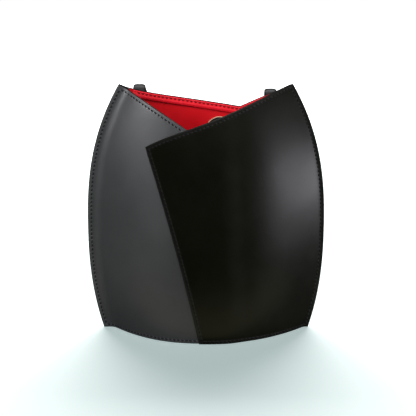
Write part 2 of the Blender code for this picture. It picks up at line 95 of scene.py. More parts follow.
LEG_OFFSET, LEG_SLOPE, LAP, LEG_TUCK = 0.0038, 0.080, 0.0024, 0.0022
SHORT_END_Z, LONG_TIP_Z, STUD_Z = 0.132, 0.236, 0.182
FIXED_KEEPER_Z, SLIDING_KEEPER_Z = 0.206, 0.150
KEEPER_HEIGHT, KEEPER_WALL, KEEPER_CLEARANCE = 0.009, 0.0014, 0.0004
HOLE_RADIUS, HOLE_PITCH, HOLE_COUNT = 0.0019, 0.015, 3
TIP_LENGTH_SHARE, TIP_WIDTH_SHARE = 0.03, 0.35
LOOP_ROUTE = (  # free loop of the long strap: x, y, z, turn
    (-0.0700, 0.0245, 0.2620, 0),
    (-0.0625, 0.0275, 0.2350, 4),
    (-0.0525, 0.0315, 0.1950, 14),
    (-0.0435, 0.0360, 0.1500, 34),
    (-0.0330, 0.0415, 0.1050, 58),
    (-0.0180, 0.0470, 0.0580, 78),
    (0.0010, 0.0500, 0.0260, 87),
    (0.0230, 0.0507, 0.0150, 90),
    (0.0450, 0.0500, 0.0270, 94),
    (0.0600, 0.0480, 0.0560, 110),
    (0.0675, 0.0445, 0.0800, 138),
    (0.0712, 0.0405, 0.1030, 168),
)
LAP_LEVELS = (0.126, 0.160, 0.200, LONG_TIP_Z)
SHORT_LEVELS = (0.245, 0.215, 0.185, 0.155, SHORT_END_Z)
FOLD_SPLIT_Z = 0.262  # below this a leg belongs to the strap's own piece

# ---- visual detail ----
STITCH_INSET, BOTTOM_INSET, FACING_INSET = 0.0040, 0.0038, 0.0018
PATCH_INSET, STRAP_INSET = 0.0039, 0.0019
PITCH, STITCH_LENGTH, THREAD = 0.0047, 0.0033, 0.00066
PATCH_THREAD = {"pitch": 0.0034, "length": 0.0026, "radius": 0.00028}
ANCHOR_THREAD = {"pitch": 0.0036, "length": 0.0027, "radius": 0.00030}
STITCH_SIDES = 6
STITCH_RINGS = (  # share of the length, height and width in thread radii
    (-0.5, -1.5, 0.7),
    (-0.36, -0.1, 1.0),
    (0.0, 0.3, 1.08),
    (0.36, -0.1, 1.0),
    (0.5, -1.5, 0.7),
)
MITRE = 0.93 * STITCH_INSET  # rows end this near to another edge
HIDDEN_TOP, LEFT_CUT_END, LEFT_FOOT_END = 0.215, 0.015, 0.018
LEFT_CUT_SEWN, LEFT_FOOT_SEWN = -0.0235, -0.010  # beyond these the other front hides the stitches
EDGE_ROUND, INNER_ROUND, FACING_ROUND, PATCH_ROUND = 0.0007, 0.0004, 0.00045, 0.0005
PAINTED, STRAP_PAINTED = 0.0010, 0.00152
GROOVE, GROOVE_WIDTH = 0.00008, 0.00060
PRESSED, PRESS_FADE = 0.00005, 0.0030
LIFT = -PRESSED - GROOVE + THREAD * 0.6
FACING_GROOVE, FACING_RIDGE, RIDGE_AT = 0.00030, 0.00042, 0.0050
PATCH_GROOVE, PATCH_STITCH_RAISED = 0.00022, 0.0001
FOLD_CROWN = 0.0020
KEEPER_ROUND = 0.0005
LINING_SAG, LEATHER_SWELL = 0.0011, 0.00022
BASE_BEND = 0.0022
PUNCH_DEPTH = 0.004
SLOPE_STEP, LINE_SPACING, THREAD_STEP = 0.0005, 0.00006, 0.0004
NEAR_EDGE = (0, 0.00015, 0.0004, 0.0008, 0.0014, 0.0022, 0.0030, 0.0036, 0.0040, 0.0044, 0.0048,
             0.0053, 0.0060, 0.0070, 0.0084, 0.0104)
PLAIN_EDGE = (0, 0.0002, 0.0006, 0.0014)
BAND_EDGE = (0, 0.0001, 0.0003, 0.0006)


# ---- the bag's surfaces, on arrays ----
def half_width(z):
    low = np.clip((WIDEST_LEVEL - z) / WIDEST_LEVEL, 0, None) ** LOWER_CURVE
    high = np.clip((z - WIDEST_LEVEL) / (BAG_HEIGHT - WIDEST_LEVEL), 0, None) ** UPPER_CURVE
    return WIDEST_HALF - (WIDEST_HALF - BASE_HALF) * low - (WIDEST_HALF - TIP_HALF) * high


def depth_at(side, z):
    return DEPTH[side] * (1 - TAPER[side] * np.clip(z / BAG_HEIGHT, 0, None) ** TAPER_CURVE)


def bulge(side, x, z):
    margin, fullness, bend = (np.where(x < 0, a, b) for a, b in zip(*SECTIONS[side]))
    rise = depth_at(side, z) * (1 - (np.abs(x) / (half_width(z) - margin)) ** fullness)
    soft = (rise + bend) ** 2 / (4 * bend)
    return np.where(rise < -bend, 0, np.where(rise < bend, soft, rise))


def bulge_limit(side, sign, z, start):
    margin, fullness, _bend = SECTIONS[side][0 if sign < 0 else 1]
    share = np.clip(1 - start / depth_at(side, z), 0, None)
    return sign * (half_width(z) - margin) * share ** (1 / fullness)


def hump(value, middle, width):
    return np.exp(-(((value - middle) / width) ** 2))


def smooth(value):
    value = np.clip(value, 0, 1)
    return value * value * (3 - 2 * value)


def polynomial(line, value):
    return sum(factor * value**power for power, factor in enumerate(line))


def left_cut(x):
    return np.minimum(polynomial(LEFT_CUT, x), BAG_HEIGHT)


def right_cut(x):
    return np.minimum(polynomial(RIGHT_CUT, x), BAG_HEIGHT)


def front_rim(x):
    return np.maximum(left_cut(x), right_cut(x))


def back_rim(x):
    run = np.abs(x - BACK_NOTCH_X)
    flare = BACK_LEFT_FLARE * (run / (BACK_NOTCH_X + TIP_HALF)) ** 6
    rise = np.where(x > BACK_NOTCH_X, BACK_RIGHT_RISE * run, BACK_LEFT_RISE * run + flare)
    return np.minimum(BACK_NOTCH_Z + rise, BAG_HEIGHT)


def free_edge(z):
    return polynomial(FREE_EDGE, z)


def hidden_edge(z):
    return polynomial(HIDDEN_EDGE, z)


def overlay(x, z):
    return (LEATHER + GAP) * (1 - smooth((x - hidden_edge(z) - GAP) / OVERLAY_FADE))


def skin(side, overlaid=False):
    """Function from x, z and a height above the leather to points and unit normals."""
    sign = 1 if side == "back" else -1

    def height(x, z):
        lifted = overlay(x, z) if overlaid else 0
        return GAP / 2 + LEATHER + bulge(side, x, z) + lifted

    def at(x, z, out=0.0):
        slope_x = (height(x + SLOPE_STEP, z) - height(x - SLOPE_STEP, z)) / (2 * SLOPE_STEP)
        slope_z = (height(x, z + SLOPE_STEP) - height(x, z - SLOPE_STEP)) / (2 * SLOPE_STEP)
        normal = np.stack([-slope_x, np.full_like(slope_x, sign), -slope_z], -1)
        normal /= np.linalg.norm(normal, axis=-1, keepdims=True)
        base = np.stack([x, sign * height(x, z), z], -1)
        return base + normal * np.asarray(out)[..., None], normal

    return at


FRONT, OVER, BACK = skin("front"), skin("front", True), skin("back")


# ---- materials ----
GRAIN = 0.00006


class Nodes:
    """Short way to write a material's node tree."""

    def __init__(self, name):
        self.material = bpy.data.materials.new(name)
        self.material.use_nodes = True
        self.tree = self.material.node_tree
        self.shader = self.tree.nodes["Principled BSDF"]
        self.place = self.tree.nodes.new("ShaderNodeTexCoord").outputs["Object"]

    def plug(self, socket, value):
        if isinstance(value, bpy.types.NodeSocket):
            self.tree.links.new(value, socket)
        else:
            socket.default_value = value

    def add(self, kind, settings=(), **inputs):
        """New node's outputs. An input is named, or numbered as _0, _1 and so on."""
        node = self.tree.nodes.new(kind)
        for key, value in dict(settings).items():
            setattr(node, key, value)
        for key, value in inputs.items():
            numbered = key[0] == "_"
            self.plug(node.inputs[int(key[1:]) if numbered else key], value)
        return node.outputs

    def noise(self, scale, detail, rough, stretch=None):
        place = self.place
        if stretch:
            place = self.add("ShaderNodeMapping", Vector=place, Scale=stretch)["Vector"]
        made = self.add("ShaderNodeTexNoise", Vector=place, Scale=scale, Detail=detail, Roughness=rough)
        return made["Fac"]

    def cells(self, scale):
        settings = {"feature": "SMOOTH_F1"}
        return self.add("ShaderNodeTexVoronoi", settings, Vector=self.place, Scale=scale)["Distance"]

    def spread(self, value, low, high, start=0.3, end=0.7):
        return self.add("ShaderNodeMapRange", Value=value, _1=start, _2=end, _3=low, _4=high)["Result"]

    def blend(self, share, first, second):
        made = self.add("ShaderNodeMix", {"data_type": "RGBA"}, _0=share, _6=first, _7=second)
        return made[2]

    def math(self, operation, first, second):
        return self.add("ShaderNodeMath", {"operation": operation}, _0=first, _1=second)["Value"]

    def attribute(self, name):
        return self.add("ShaderNodeAttribute", {"attribute_name": name})["Fac"]

    def bump(self, height, distance, strength, under=None):
        inputs = {"Height": height, "Distance": distance, "Strength": strength}
        if under is not None:
            inputs["Normal"] = under
        return self.add("ShaderNodeBump", **inputs)["Normal"]

    def set(self, **inputs):
        for key, value in inputs.items():
            self.plug(self.shader.inputs[key.replace("_", " ")], value)
        return self.material


def rgb(red, green, blue):
    return (red, green, blue, 1.0)


def scaled(colour, factor):
    return rgb(*(channel * factor for channel in colour[:3]))


def leather(name, colour, sheen_and_wear_colour, rough, level, mottle, pores=1500.0):
    """Leather with fine grain, soft mottling, and a lighter second colour mixed in by a point attribute: real
    wear at cut edges, and a painted highlight along stitch rows and ridges.
    """
    made = Nodes(name)
    broad = made.noise(14.0, 4.0, 0.55)
    patch = made.noise(95.0, 3.0, 0.6)
    cloud = made.math("ADD", made.math("MULTIPLY", broad, 0.7), made.math("MULTIPLY", patch, 0.3))
    share = made.spread(cloud, 0.0, 1.0, 0.36, 0.64)
    base = made.blend(share, scaled(colour, 1 - mottle), scaled(colour, 1 + mottle))
    # Mixes in the lighter colour where the point attribute is set: wear at edges, and painted highlight along
    # stitch rows and ridges.
    wear_and_sheen = made.math("MULTIPLY", made.attribute("wear_and_sheen"), made.spread(patch, 0.45, 1.0))
    base = made.blend(wear_and_sheen, base, sheen_and_wear_colour)
    pore = made.cells(pores)
    fine = made.noise(pores * 1.9, 2.0, 0.6)
    wrinkle = made.noise(160.0, 5.0, 0.62)
    skin_height = made.math("ADD", pore, made.math("MULTIPLY", fine, 0.5))
    normal = made.bump(wrinkle, GRAIN * 2.2, 0.5)
    normal = made.bump(skin_height, GRAIN, 0.8, normal)
    uneven = made.math("ADD", broad, made.math("MULTIPLY", pore, 0.15))
    roughness = made.spread(uneven, rough - 0.05, rough + 0.06, 0.35, 0.8)
    return made.set(Base_Color=base, Roughness=roughness, Specular_IOR_Level=level, Normal=normal)


def edge_paint(name, colour):
    """Painted and burnished cut edge: slightly uneven gloss."""
    made = Nodes(name)
    lumps = made.noise(700.0, 3.0, 0.6)
    base = made.blend(lumps, scaled(colour, 0.8), scaled(colour, 1.35))
    normal = made.bump(lumps, 0.00008, 0.7)
    roughness = made.spread(lumps, 0.39, 0.57)
    return made.set(Base_Color=base, Roughness=roughness, Specular_IOR_Level=0.18, Normal=normal)


def thread(name, colour):
    """Waxed linen thread, twisted."""
    made = Nodes(name)
    strands = made.noise(2600.0, 2.0, 0.5, (1.0, 1.0, 0.4))
    base = made.blend(strands, scaled(colour, 0.6), scaled(colour, 1.5))
    normal = made.bump(strands, 0.0001, 0.9)
    return made.set(Base_Color=base, Roughness=0.62, Specular_IOR_Level=0.15, Normal=normal)


def metal(name, colour, rough):
    """Plated metal with faint handling marks."""
    made = Nodes(name)
    marks = made.noise(420.0, 4.0, 0.7)
    fine = made.noise(3000.0, 2.0, 0.6, (1.0, 1.0, 0.2))
    base = made.blend(marks, scaled(colour, 0.9), scaled(colour, 1.08))
    roughness = made.spread(marks, rough - 0.05, rough + 0.10)
    return made.set(Base_Color=base, Metallic=1.0, Roughness=roughness, Normal=made.bump(fine, 0.00001, 0.4))


def fibre(name, colour):
    """Pressed fibre: a raw leather edge or a base board."""
    made = Nodes(name)
    fuzz = made.noise(1800.0, 4.0, 0.7)
    base = made.blend(fuzz, scaled(colour, 0.75), scaled(colour, 1.25))
    normal = made.bump(fuzz, 0.00015, 0.8)
    return made.set(Base_Color=base, Roughness=0.85, Specular_IOR_Level=0.15, Normal=normal)


# name, colour, lighter colour for wear and painted highlight, roughness, specular level, mottle
GREY = leather("grey_leather", rgb(0.0175, 0.0178, 0.0180), rgb(0.048, 0.049, 0.052), 0.43, 0.42, 0.07)
BLACK = leather("black_leather", rgb(0.0022, 0.0022, 0.0008), rgb(0.020, 0.020, 0.019), 0.33, 0.25, 0.15)
BACK_BLACK = leather("back_leather", rgb(0.012, 0.012, 0.011), rgb(0.024, 0.024, 0.023), 0.45, 0.35, 0.12)
STRAP = leather("strap_leather", rgb(0.026, 0.026, 0.027), rgb(0.045, 0.045, 0.047), 0.50, 0.25, 0.10)
RED = leather("red_lining", rgb(0.46, 0.002, 0.006), rgb(0.54, 0.010, 0.020), 0.55, 0.2, 0.10, 1100.0)
FACING = leather("red_facing", rgb(0.58, 0.004, 0.011), rgb(0.76, 0.03, 0.05), 0.47, 0.25, 0.08, 1300.0)
PATCH = leather("patch_leather", rgb(0.010, 0.010, 0.009), rgb(0.02, 0.02, 0.018), 0.45, 0.35, 0.12)
BLACK_EDGE = edge_paint("black_edge", rgb(0.005, 0.005, 0.0045))
RED_EDGE = edge_paint("red_edge", rgb(0.30, 0.008, 0.014))
RAW_EDGE = fibre("raw_edge", rgb(0.36, 0.22, 0.15))
BOARD = fibre("base_board", rgb(0.25, 0.20, 0.14))
BLACK_THREAD = thread("black_thread", rgb(0.0030, 0.0030, 0.0030))
RED_THREAD = thread("red_thread", rgb(0.13, 0.001, 0.004))
NICKEL = metal("nickel", rgb(0.56, 0.56, 0.57), 0.22)
FERRITE = metal("ferrite", rgb(0.12, 0.12, 0.125), 0.45)


# ---- mesh helpers ----
def link(name, data):
    made = bpy.data.objects.new(name, data)
    bpy.context.scene.collection.objects.link(made)
    return made


def build(name, points, faces, materials, indices=None, wear_and_sheen=None, sharp=35):
    """Object from points and faces, normals turned outward, shaded smooth up to an angle."""
    mesh = bpy.data.meshes.new(name)
    points = [tuple(map(float, point)) for point in points]
    mesh.from_pydata(points, [], [tuple(map(int, face)) for face in faces])
    for each in materials:
        mesh.materials.append(each)
    if indices is not None:
        mesh.polygons.foreach_set("material_index", np.asarray(indices, np.int32))
    if wear_and_sheen is not None:
        mark = mesh.attributes.new("wear_and_sheen", "FLOAT", "POINT")
        mark.data.foreach_set("value", np.asarray(wear_and_sheen, np.float32))
    work = bmesh.new()
    work.from_mesh(mesh)
    bmesh.ops.recalc_face_normals(work, faces=work.faces)
    work.to_mesh(mesh)
    work.free()
    mesh.shade_smooth()
    if sharp:
        mesh.set_sharp_from_angle(angle=math.radians(sharp))
    return link(name, mesh)


def fit(made, body, slot, *nodes):
    """Give a piece its body and hide the CAD nodes that it stands for. The slot argument is not used."""
    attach(made, body)
    if nodes:
        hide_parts(*nodes)
    return made


def lines(near_start, near_end, count):
    """Grid lines as three arrays: fixed distance from the start, from the end, and share of the whole."""
    start, end = near_start[-1], near_end[-1]
    rows = [(c, 0.0, 0.0) for c in near_start[:-1]]
    rows += [(start * (1 - i / count), end * i / count, i / count) for i in range(count + 1)]
    rows += [(0.0, c, 1.0) for c in reversed(near_end[:-1])]
    return np.array(rows).T


def net(left, right, rim, bottom, columns, rows):
    """x and z of a grid whose outer lines follow all four edges."""
    from_left, from_right, across = columns
    from_low, from_top, up = (values[:, None] for values in rows)
    z = up * BAG_HEIGHT + 0 * across
    for _ in range(40):
        x = left(z) + from_left - from_right + across * (right(z) - left(z))
        slope = (rim(x + SLOPE_STEP) - rim(x - SLOPE_STEP)) / (2 * SLOPE_STEP)
        top, low = rim(x), bottom(x)
        z = low + from_low - from_top * np.sqrt(1 + slope**2) + up * (top - low)
    return x, z


def length_along(points):
    return np.concatenate([[0], np.cumsum(np.linalg.norm(np.diff(points, axis=0), axis=1))])


def dense(points):
    """Polyline resampled evenly and finely."""
    run = length_along(points)
    at = np.linspace(0, run[-1], max(int(run[-1] / LINE_SPACING), 2))
    return np.stack([np.interp(at, run, points[:, axis]) for axis in range(3)], -1)


def distance(points, line):
    """Distance of each point to a polyline."""
    fine = dense(line)
    tree = kdtree.KDTree(len(fine))
    for index, point in enumerate(fine):
        tree.insert(point, index)
    tree.balance()
    flat = points.reshape(-1, 3)
    return np.array([tree.find(point)[2] for point in flat]).reshape(points.shape[:-1])


def rounded(away, radius=EDGE_ROUND):
    """Height lost where an edge is rounded over, by distance from it."""
    share = np.clip(1 - away / radius, 0, 1)
    return -radius * (1 - np.sqrt(1 - share**2))


def stitched(away):
    """Relief of pressed leather beside a stitched edge: a groove under the thread and a soft rise beyond."""
    groove = -GROOVE * hump(away, STITCH_INSET, GROOVE_WIDTH)
    band = -PRESSED + 0.5 * PRESSED * np.sin(np.pi * np.clip(away / STITCH_INSET, 0, 1))
    beyond = -PRESSED * (1 - smooth((away - STITCH_INSET) / PRESS_FADE))
    return groove + np.where(away < STITCH_INSET, band, beyond)


def wave(points, size, seed):
    """Slow smooth noise, about -1 to 1, at each point."""
    shift = Vector((seed * 7.3, seed * 3.1, seed * 5.7))
    flat = points.reshape(-1, 3)
    values = [noise.fractal(Vector(point) / size + shift, 0.6, 2.0, 2) for point in flat]
    return np.array(values).reshape(points.shape[:-1])


def closed_sheet(name, outside, inside, materials, painted=None, wear_and_sheen=None):
    """Solid between two grids of points. painted marks the points of the grid where the second material
    shows; the cut edges always have it."""
    rows, cols = outside.shape[:2]
    back = rows * cols
    number = np.arange(back).reshape(rows, cols)
    quads = np.stack([number[:-1, :-1], number[:-1, 1:], number[1:, 1:], number[1:, :-1]], -1).reshape(-1, 4)
    ring = np.concatenate([number[0, :-1], number[:-1, -1], number[-1, :0:-1], number[:0:-1, 0]])
    after = np.roll(ring, -1)
    walls = np.stack([ring, ring + back, after + back, after], -1)
    points = np.concatenate([outside.reshape(-1, 3), inside.reshape(-1, 3)])
    faces = np.concatenate([quads, quads[:, ::-1] + back, walls])
    on_edge = np.zeros(len(quads), int)
    if painted is not None:
        on_edge = painted.reshape(-1)[quads].all(axis=1).astype(int)
    indices = np.concatenate([on_edge, on_edge, np.ones(len(walls), int)])
    if wear_and_sheen is not None:
        wear_and_sheen = np.concatenate([wear_and_sheen.reshape(-1)] * 2)
    return build(name, points, faces, materials, indices, wear_and_sheen)


def tube(rings, size, first=0):
    """Side faces and the two end faces of a tube of rings that have the same number of points."""
    sides = []
    for ring in range(rings - 1):
        for k in range(size):
            a, b = first + ring * size + k, first + ring * size + (k + 1) % size
            sides.append((a, b, b + size, a + size))
    last = first + size * (rings - 1)
    return sides, [tuple(range(first + size - 1, first - 1, -1)), tuple(range(last, last + size))]


def stitch_line(name, points, normals, body, slot, colour, pitch=PITCH, length=STITCH_LENGTH, radius=THREAD,
                closed=False):
    """Row of separate stitches along a line with its surface normals, each dipping into its holes."""
    run = length_along(points)
    count = max(round(run[-1] / pitch), 1)
    spare = 0 if closed else (run[-1] - (count - 1) * pitch) / 2
    middles = spare + np.arange(count) * (run[-1] / count if closed else pitch)

    def on_path(values, spot):
        spot = spot % run[-1] if closed else spot
        return np.array([np.interp(spot, run, values[:, axis]) for axis in range(3)])

    verts, faces, ends = [], [], []
    for middle in middles:
        first = len(verts)
        for share, drop, wide in STITCH_RINGS:
            spot = middle + share * length
            centre, out = on_path(points, spot), on_path(normals, spot)
            out /= np.linalg.norm(out)
            side = np.cross(on_path(points, spot + THREAD_STEP) - on_path(points, spot - THREAD_STEP), out)
            side /= np.linalg.norm(side)
            slant = side * share * radius * 0.9
            for corner in range(STITCH_SIDES):
                angle = 2 * math.pi * corner / STITCH_SIDES
                verts.append(centre + slant + out * radius * (drop + wide * math.sin(angle))
                             + side * radius * wide * math.cos(angle))
        side_faces, end_faces = tube(len(STITCH_RINGS), STITCH_SIDES, first)
        faces += side_faces
        ends += end_faces
    made = build(name, verts, faces + ends, [colour], sharp=None)
    return fit(made, body, slot)


def inset_path(at, x, z, inset, inward, others):
    """Path at a distance inside an edge, on the surface, ending where it comes near the other edges."""
    points, normals = at(x, z)
    tangent = np.gradient(points, axis=0)
    tangent /= np.linalg.norm(tangent, axis=1, keepdims=True)
    side = np.cross(normals, tangent)
    side *= np.sign((side @ np.array(inward)))[:, None]
    moved = points + side * inset
    path_x, path_z = moved[:, 0], moved[:, 2]
    on, _ = at(path_x, path_z)
    good = np.ones(len(path_x), bool)
    for line in others:
        good &= distance(on, line) > MITRE
    return path_x[good], path_z[good]


# ---- outer leather ----
def ground(x):
    return np.zeros_like(x)


def left_side(z):
    return -half_width(z)


UPRIGHT = {"left_side": left_side, "right_side": half_width, "free": free_edge, "hidden": hidden_edge}
LEVEL = {"left_cut": left_cut, "right_cut": right_cut, "back_rim": back_rim, "ground": ground}


def outline(kind, start, end):
    """x, z along one named edge of a panel."""
    values = np.linspace(start, end, 500)
    if kind in UPRIGHT:
        return UPRIGHT[kind](values), values
    return values, LEVEL[kind](values)


def edge_line(at, kind, start, end):
    return at(*outline(kind, start, end))[0]


def shell(name, at, bounds, columns, rows, edges, materials, slot, node, seed, plain=None):
    """Leather panel with painted edges, pressed beside the edges that are stitched."""
    left, right, rim = bounds
    x, z = net(left, right, rim, ground, columns, rows)
    base, _ = at(x, z)
    away = [distance(base, edge_line(at, kind, start, end)) * (STITCH_INSET / inset)
            for kind, start, end, inset, _inward in edges]
    to_stitched = np.min(away, axis=0)
    nearest = to_stitched
    if plain:
        nearest = np.minimum(to_stitched, distance(base, edge_line(at, *plain)))
    soft = LEATHER_SWELL * wave(base, 0.09, seed) * smooth(nearest / 0.02)
    outer = stitched(to_stitched) + rounded(nearest) + soft
    inner = np.full_like(outer, -LEATHER) - rounded(nearest, INNER_ROUND)
    # Lighter colour: wear near the cut edges, and a painted highlight along the stitch row where pressed
    # leather would catch the light.
    wear_and_sheen = np.maximum(np.exp(-nearest / 0.0012), 0.8 * hump(to_stitched, STITCH_INSET, 0.0009))
    outside, inside = at(x, z, outer)[0], at(x, z, inner)[0]
    made = closed_sheet(name, outside, inside, materials, nearest < PAINTED, wear_and_sheen)
    return fit(made, "bag", slot, node)


def rows_of_stitches(prefix, at, edges, slot="black_leather"):
    """One stitch row inside each (kind, start, end, inset, inward) edge, mitred at the corners."""
    drawn = [edge_line(at, kind, start, end) for kind, start, end, _inset, _inward in edges]
    for index, (kind, start, end, inset, inward) in enumerate(edges):
        others = [line for other, line in enumerate(drawn) if other != index]
        x, z = outline(kind, start, end)
        x, z = inset_path(at, x, z, inset, inward, others)
        points, normals = at(x, z, np.full(len(x), LIFT))
        stitch_line(f"{prefix}_{kind}_stitches", points, normals, "bag", slot, BLACK_THREAD)


def make_left_front():
    edges = [
        ("left_side", 0, BAG_HEIGHT, STITCH_INSET, (1, 0, 0)),
        ("left_cut", -TIP_HALF, LEFT_CUT_END, STITCH_INSET, (0, 0, -1)),
        ("ground", -BASE_HALF, LEFT_FOOT_END, BOTTOM_INSET, (0, 0, 1)),
    ]
    shell("front_left_leather", FRONT, (left_side, hidden_edge, left_cut), lines(NEAR_EDGE, PLAIN_EDGE, 64),
          lines(NEAR_EDGE, NEAR_EDGE, 84), edges, [GREY, BLACK_EDGE], "grey_black_leather",
          "front_left_panel", 1, ("hidden", 0, HIDDEN_TOP))
    edges[1] = ("left_cut", -TIP_HALF, LEFT_CUT_SEWN, STITCH_INSET, (0, 0, -1))
    edges[2] = ("ground", -BASE_HALF, LEFT_FOOT_SEWN, BOTTOM_INSET, (0, 0, 1))
    rows_of_stitches("front_left", FRONT, edges, "grey_black_leather")


def overlap_corner():
    """Height where the free edge meets the right cut."""
    z = 0.22
    for _ in range(40):
        z = float(right_cut(free_edge(z)))
    return z


def make_right_front():
    corner_z = overlap_corner()
    edges = [
        ("free", 0, corner_z, STITCH_INSET, (1, 0, 0)),
        ("right_cut", float(free_edge(corner_z)), TIP_HALF, STITCH_INSET, (0, 0, -1)),
        ("right_side", 0, BAG_HEIGHT, STITCH_INSET, (-1, 0, 0)),
        ("ground", float(free_edge(0)), BASE_HALF, BOTTOM_INSET, (0, 0, 1)),
    ]
    shell("front_right_leather", OVER, (free_edge, half_width, right_cut), lines(NEAR_EDGE, NEAR_EDGE, 70),
          lines(NEAR_EDGE, NEAR_EDGE, 92), edges, [BLACK, BLACK_EDGE], "black_leather",
          "front_right_panel", 2)
    rows_of_stitches("front_right", OVER, edges)


def make_back():
    edges = [
        ("left_side", 0, BAG_HEIGHT, STITCH_INSET, (1, 0, 0)),
        ("right_side", 0, BAG_HEIGHT, STITCH_INSET, (-1, 0, 0)),
        ("back_rim", -TIP_HALF, TIP_HALF, STITCH_INSET, (0, 0, -1)),
        ("ground", -BASE_HALF, BASE_HALF, BOTTOM_INSET, (0, 0, 1)),
    ]
    shell("back_leather", BACK, (left_side, half_width, back_rim), lines(NEAR_EDGE, NEAR_EDGE, 96),
          lines(NEAR_EDGE, NEAR_EDGE, 84), edges, [BACK_BLACK, BLACK_EDGE], "black_leather", "back_panel", 3)
    rows_of_stitches("back", BACK, edges)


# ---- linings and facings ----
def mouth_net(side, rim, start, bottom, columns, rows):
    """Grid from the mouth down, as wide as the bulge is deeper than start, and its top's height."""

    def top(x):
        return rim(x) - EDGE_DROP

    def left(z):
        return bulge_limit(side, -1, z, start)

    def right(z):
        return bulge_limit(side, 1, z, start)

    x, z = net(left, right, top, lambda x: bottom(x, top(x)), columns, rows)
    return x, z, top(x)


def make_lining(side, at, rim):
    """Red lining that hangs softly inside the leather, from under the facing down to the base."""
    x, z, top = mouth_net(side, rim, LINING_START, lambda x, top: np.full_like(x, LINING_BOTTOM),
                          lines(PLAIN_EDGE, PLAIN_EDGE, 80), lines(PLAIN_EDGE, PLAIN_EDGE, 70))
    base, _ = at(x, z)
    fall = smooth((top - z - FACING_WIDTH) / 0.02) * smooth((z - LINING_BOTTOM) / 0.03)
    fall *= smooth((np.hypot(x - SNAP_X, z - SNAP_Z) - PATCH_RADIUS[side]) / 0.02)
    fall *= smooth(np.minimum(x - x[:, :1], x[:, -1:] - x) / 0.03)
    folds = wave(base * np.array([1.0, 1.0, 0.45]), 0.022, 5 if side == "back" else 6)
    sag = LINING_SAG * (0.5 + 0.5 * folds) * fall
    seat = np.full_like(x, -LEATHER - GAP)
    wear_and_sheen = 0.25 * np.clip(wave(base, 0.03, 9), 0, 1)
    made = closed_sheet(f"{side}_lining_leather", at(x, z, seat)[0], at(x, z, seat - LINING - sag)[0],
                        [RED, RED_EDGE], wear_and_sheen=wear_and_sheen)
    fit(made, "bag", "red_lining", f"{side}_lining")


def make_facing(side, at, rim):
    """Red band along the mouth, stitched near its top, with a raised ridge below the stitches."""
    x, z, top = mouth_net(side, rim, FACING_START, lambda x, top: top - FACING_WIDTH,
                          lines(PLAIN_EDGE, PLAIN_EDGE, 120), lines(BAND_EDGE, BAND_EDGE, 22))
    base, _ = at(x, z)
    below = top - z
    end = np.minimum(x - x[:, :1], x[:, -1:] - x)
    nearest = np.minimum(np.minimum(below, FACING_WIDTH - below), end + 0.0001)
    groove = -FACING_GROOVE * hump(below, FACING_INSET, 0.0006)
    ridge = FACING_RIDGE * hump(below, RIDGE_AT, 0.0016) * (1 + 0.25 * wave(base, 0.012, 11))
    relief = rounded(nearest, FACING_ROUND) + groove + ridge
    seat = -LEATHER - GAP - LINING - FACING_GAP
    # Lighter colour: wear at the top edge, and a painted highlight on the ridge below the stitches.
    wear_and_sheen = np.exp(-below / 0.0007) + 0.5 * hump(below, RIDGE_AT, 0.0014)
    made = closed_sheet(f"{side}_facing_leather", at(x, z, np.full_like(x, seat))[0],
                        at(x, z, seat - LINING - relief)[0], [FACING, RED_EDGE], wear_and_sheen=wear_and_sheen)
    fit(made, "bag", "red_facing", f"{side}_facing")
    row = np.linspace(x[-1, 0] + 0.003, x[-1, -1] - 0.003, 500)
    edge = rim(row) - EDGE_DROP
    row_z = edge - FACING_INSET * np.sqrt(1 + np.gradient(edge, row) ** 2)
    points, normals = at(row, row_z, np.full(len(row), seat - LINING + FACING_GROOVE - THREAD * 0.55))
    stitch_line(f"{side}_facing_stitches", points, -normals, "bag", "red_facing", RED_THREAD)


# ---- base ----
def base_edge(at, x, inset):
    return at(x, np.zeros_like(x), np.full_like(x, -inset))[0][:, 1]


def make_base_lining():
    """Flat lens-shaped lining that follows the foot of the bag, rounded at its rim and slightly padded."""
    cols, rows = 90, 40
    bottom = FLANGE_HEIGHT + 2 * GAP + BOARD_THICKNESS
    left, right = BASE_LEFT + BOARD_SHORTER, BASE_RIGHT - BOARD_SHORTER
    xs = left + (1 - np.cos(np.linspace(0, np.pi, cols + 1))) / 2 * (right - left)
    front, back = base_edge(FRONT, xs, BOARD_INSET), base_edge(BACK, xs, BOARD_INSET)
    across = (1 - np.cos(np.linspace(0, np.pi, rows + 1))) / 2
    x = np.broadcast_to(xs, (rows + 1, cols + 1))
    y = front + across[:, None] * (back - front)
    edge = np.minimum(np.minimum(y - front, back - y), np.minimum(xs - left, right - xs))
    lost = -rounded(edge, 0.3 * LINING)
    flat = np.stack([x, y, np.zeros_like(y)], -1)
    puff = 0.0004 * smooth(edge / 0.012) * (0.6 + 0.4 * wave(flat, 0.03, 4))
    upper = np.stack([x, y, bottom + LINING - lost + puff], -1)
    lower = np.stack([x, y, bottom + lost], -1)
    made = closed_sheet("base_lining_leather", upper, lower, [RED, RED_EDGE])
    fit(made, "bag", "red_lining", "base_lining")


def make_base_panel():
    """Leather base whose long edges turn down inside the front and the back."""
    xs = np.linspace(BASE_LEFT, BASE_RIGHT, 100)
    inset = LEATHER + GAP
    front, back = base_edge(FRONT, xs, inset), base_edge(BACK, xs, inset)
    turn = np.linspace(0, np.pi / 2, 7)

    def section(grow):
        """Lines from the foot of the front flange over the plate to the foot of the back one."""
        radius = BASE_BEND - grow
        lift = FLANGE_HEIGHT - grow
        y_front, y_back = front + grow, back - grow
        flange = [(0.0002, 0.0), (0, 0.0003), (0, 0.0012), (0, 0.003)]
        bend = [(radius * (1 - np.cos(a)), lift - radius * (1 - np.sin(a))) for a in turn]
        side = flange + bend
        line = [(y_front + step, height) for step, height in side]
        for share in np.linspace(0.04, 0.96, 24):
            line.append((y_front + radius + share * (y_back - y_front - 2 * radius), lift))
        line += [(y_back - step, height) for step, height in reversed(side)]
        return np.array([np.stack([xs, y, np.full_like(xs, height)], -1) for y, height in line])

    made = closed_sheet("base_leather", section(0.0), section(LEATHER), [BACK_BLACK, BLACK_EDGE])
    fit(made, "bag", "black_leather", "base_panel")


